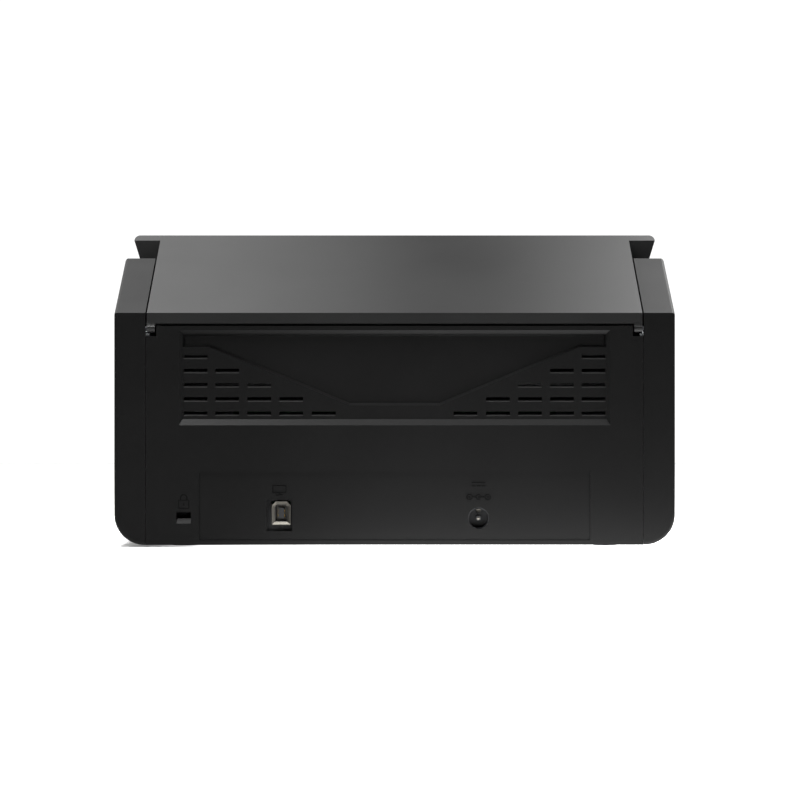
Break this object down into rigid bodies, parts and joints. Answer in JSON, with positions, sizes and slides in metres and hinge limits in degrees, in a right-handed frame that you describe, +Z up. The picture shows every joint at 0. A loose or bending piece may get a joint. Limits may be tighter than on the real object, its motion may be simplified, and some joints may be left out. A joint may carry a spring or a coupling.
{
  "type": "sheet-fed scanner",
  "caption": "Desktop sheet-fed document scanner with a sloping fold-up top lid, a front cover that swings down over the rollers, and a pull-out output tray.",
  "frame": {"origin": "on the table, under the middle of the machine's overall box", "axes": "+X to the right seen from the front, +Y to the rear with the sockets, +Z up"},
  "size_m": [0.296, 0.1704, 0.1696],
  "materials": {
    "case_plastic": "fine textured black moulding",
    "lid_plastic": "fine textured charcoal moulding",
    "inner_plastic": "smooth black moulding",
    "tray_plastic": "dark grey moulding",
    "white_plastic": "natural acetal",
    "button_plastic": "satin button caps",
    "steel": "turned steel",
    "sheet_steel": "zinc plated sheet",
    "roller_rubber": "ground rubber",
    "foot_rubber": "soft black rubber",
    "belt_rubber": "toothed neoprene",
    "glass": "clear glass",
    "board": "green lacquered board",
    "socket_metal": "nickel plated shell"
  },
  "bodies": {
    "base": {"base_pan": "case_plastic", "board_brace": "sheet_steel", "cover_hinge_pins": "steel", "dc_jack": "inner_plastic", "drive_motor": "steel", "exit_belt": "belt_rubber", "feed_belt": "belt_rubber", "lid_hinge_pins": "steel", "lock_plate": "sheet_steel", "lower_guide": "inner_plastic", "lower_scan_glass": "glass", "lower_scan_unit": "inner_plastic", "main_board": "board", "motor_belt": "belt_rubber", "paper_chute": "inner_plastic", "rear_cover": "case_plastic", "rubber_feet": "foot_rubber", "shaft_bushes": "white_plastic", "side_frame_left": "sheet_steel", "side_frame_right": "sheet_steel", "side_panel_left": "case_plastic", "side_panel_right": "case_plastic", "usb_socket": "socket_metal", "usb_tongue": "inner_plastic"},
    "front_cover": {"cover_shell": "lid_plastic", "cover_inner": "inner_plastic", "upper_scan_unit": "inner_plastic", "upper_scan_glass": "glass", "control_board": "board"},
    "lid": {"lid_shell": "lid_plastic", "lid_liner": "inner_plastic"},
    "lid_support": {"lid_support": "inner_plastic"},
    "guide_right": {"guide_right": "tray_plastic"},
    "guide_left": {"guide_left": "tray_plastic"},
    "guide_pinion": {"guide_pinion": "white_plastic"},
    "feed_drive": {"feed_shaft": "steel", "feed_roller": "roller_rubber", "feed_pulley": "white_plastic"},
    "transport_drive": {"transport_shaft": "steel", "transport_tyres": "roller_rubber", "transport_pulleys": "white_plastic"},
    "exit_drive": {"exit_shaft": "steel", "exit_tyres": "roller_rubber", "exit_pulley": "white_plastic"},
    "motor_rotor": {"motor_pulley": "steel"},
    "brake_roller": {"brake_roller": "roller_rubber"},
    "transport_idlers": {"transport_idlers": "white_plastic"},
    "exit_idlers": {"exit_idlers": "white_plastic"},
    "power_button": {"power_button": "button_plastic"},
    "scan_button": {"scan_button": "button_plastic"},
    "stop_button": {"stop_button": "button_plastic"},
    "output_tray": {"output_tray": "tray_plastic"},
    "tray_extension": {"tray_extension": "tray_plastic"},
    "paper_stop": {"paper_stop": "tray_plastic"},
    "sensor_flag": {"sensor_flag": "white_plastic"}
  },
  "joints": [
    {"name": "lid_hinge", "type": "hinge", "parent": "base", "child": "lid", "pos_m": [0, 0.083, 0.1152], "axis": [-1, 0, 0], "range_deg": [0, 98]},
    {"name": "support_slide", "type": "slide", "parent": "lid", "child": "lid_support", "axis": [0, -0.9252, 0.3795], "range_m": [0, 0.08]},
    {"name": "cover_hinge", "type": "hinge", "parent": "base", "child": "front_cover", "pos_m": [0, -0.072, 0.024], "axis": [1, 0, 0], "range_deg": [0, 75]},
    {"name": "guide_slide_right", "type": "slide", "parent": "base", "child": "guide_right", "axis": [-1, 0, 0], "range_m": [0, 0.065]},
    {"name": "guide_slide_left", "type": "slide", "parent": "base", "child": "guide_left", "axis": [1, 0, 0], "range_m": [0, 0.065]},
    {"name": "guide_pinion_turn", "type": "hinge", "parent": "base", "child": "guide_pinion", "pos_m": [0, 0.05246, 0.08034], "axis": [0, -0.6691, 0.7431], "range_deg": [-415, 0]},
    {"name": "transport_spin", "type": "hinge", "parent": "base", "child": "transport_drive", "pos_m": [0, 0.01161, 0.04127], "axis": [1, 0, 0], "continuous": true},
    {"name": "feed_spin", "type": "hinge", "parent": "base", "child": "feed_drive", "pos_m": [0, 0.02551, 0.04975], "axis": [1, 0, 0], "continuous": true},
    {"name": "exit_spin", "type": "hinge", "parent": "base", "child": "exit_drive", "pos_m": [0, -0.01102, 0.02157], "axis": [1, 0, 0], "continuous": true},
    {"name": "motor_spin", "type": "hinge", "parent": "base", "child": "motor_rotor", "pos_m": [0, 0.047, 0.027], "axis": [1, 0, 0], "continuous": true},
    {"name": "brake_spin", "type": "hinge", "parent": "front_cover", "child": "brake_roller", "pos_m": [0, 0.0134, 0.0632], "axis": [1, 0, 0], "continuous": true},
    {"name": "transport_idler_spin", "type": "hinge", "parent": "front_cover", "child": "transport_idlers", "pos_m": [0, 0.00284, 0.05101], "axis": [1, 0, 0], "continuous": true},
    {"name": "exit_idler_spin", "type": "hinge", "parent": "front_cover", "child": "exit_idlers", "pos_m": [0, -0.01845, 0.02982], "axis": [1, 0, 0], "continuous": true},
    {"name": "output_tray_slide", "type": "slide", "parent": "base", "child": "output_tray", "axis": [0, -1, 0], "range_m": [0, 0.07]},
    {"name": "extension_slide", "type": "slide", "parent": "output_tray", "child": "tray_extension", "axis": [0, -1, 0], "range_m": [0, 0.06]},
    {"name": "paper_stop_hinge", "type": "hinge", "parent": "tray_extension", "child": "paper_stop", "pos_m": [0, -0.08376, 0.0101], "axis": [1, 0, 0], "range_deg": [0, 90]},
    {"name": "sensor_flag_hinge", "type": "hinge", "parent": "base", "child": "sensor_flag", "pos_m": [0, 0.01722, 0.047], "axis": [1, 0, 0], "range_deg": [0, 40], "stiffness_Nm_per_rad": 0.0002, "springref_deg": -17.19},
    {"name": "power_button_press", "type": "slide", "parent": "front_cover", "child": "power_button", "axis": [0, 0.9336, -0.3584], "range_m": [0, 0.0008], "stiffness_N_per_m": 500, "springref_m": -0.001},
    {"name": "scan_button_press", "type": "slide", "parent": "front_cover", "child": "scan_button", "axis": [0, 0.9336, -0.3584], "range_m": [0, 0.0008], "stiffness_N_per_m": 500, "springref_m": -0.001},
    {"name": "stop_button_press", "type": "slide", "parent": "front_cover", "child": "stop_button", "axis": [0, 0.9336, -0.3584], "range_m": [0, 0.0008], "stiffness_N_per_m": 500, "springref_m": -0.001}
  ],
  "couplings": [
    {"joint": "guide_slide_left", "follows": "guide_slide_right", "ratio": 1},
    {"joint": "guide_pinion_turn", "follows": "guide_slide_right", "rad_per_m": -111.11},
    {"joint": "feed_spin", "follows": "transport_spin", "ratio": 0.68182},
    {"joint": "exit_spin", "follows": "transport_spin", "ratio": 1.125},
    {"joint": "motor_spin", "follows": "transport_spin", "ratio": 2},
    {"joint": "brake_spin", "follows": "transport_spin", "ratio": -0.85227},
    {"joint": "transport_idler_spin", "follows": "transport_spin", "ratio": -1.1667},
    {"joint": "exit_idler_spin", "follows": "transport_spin", "ratio": -1.625}
  ]
}
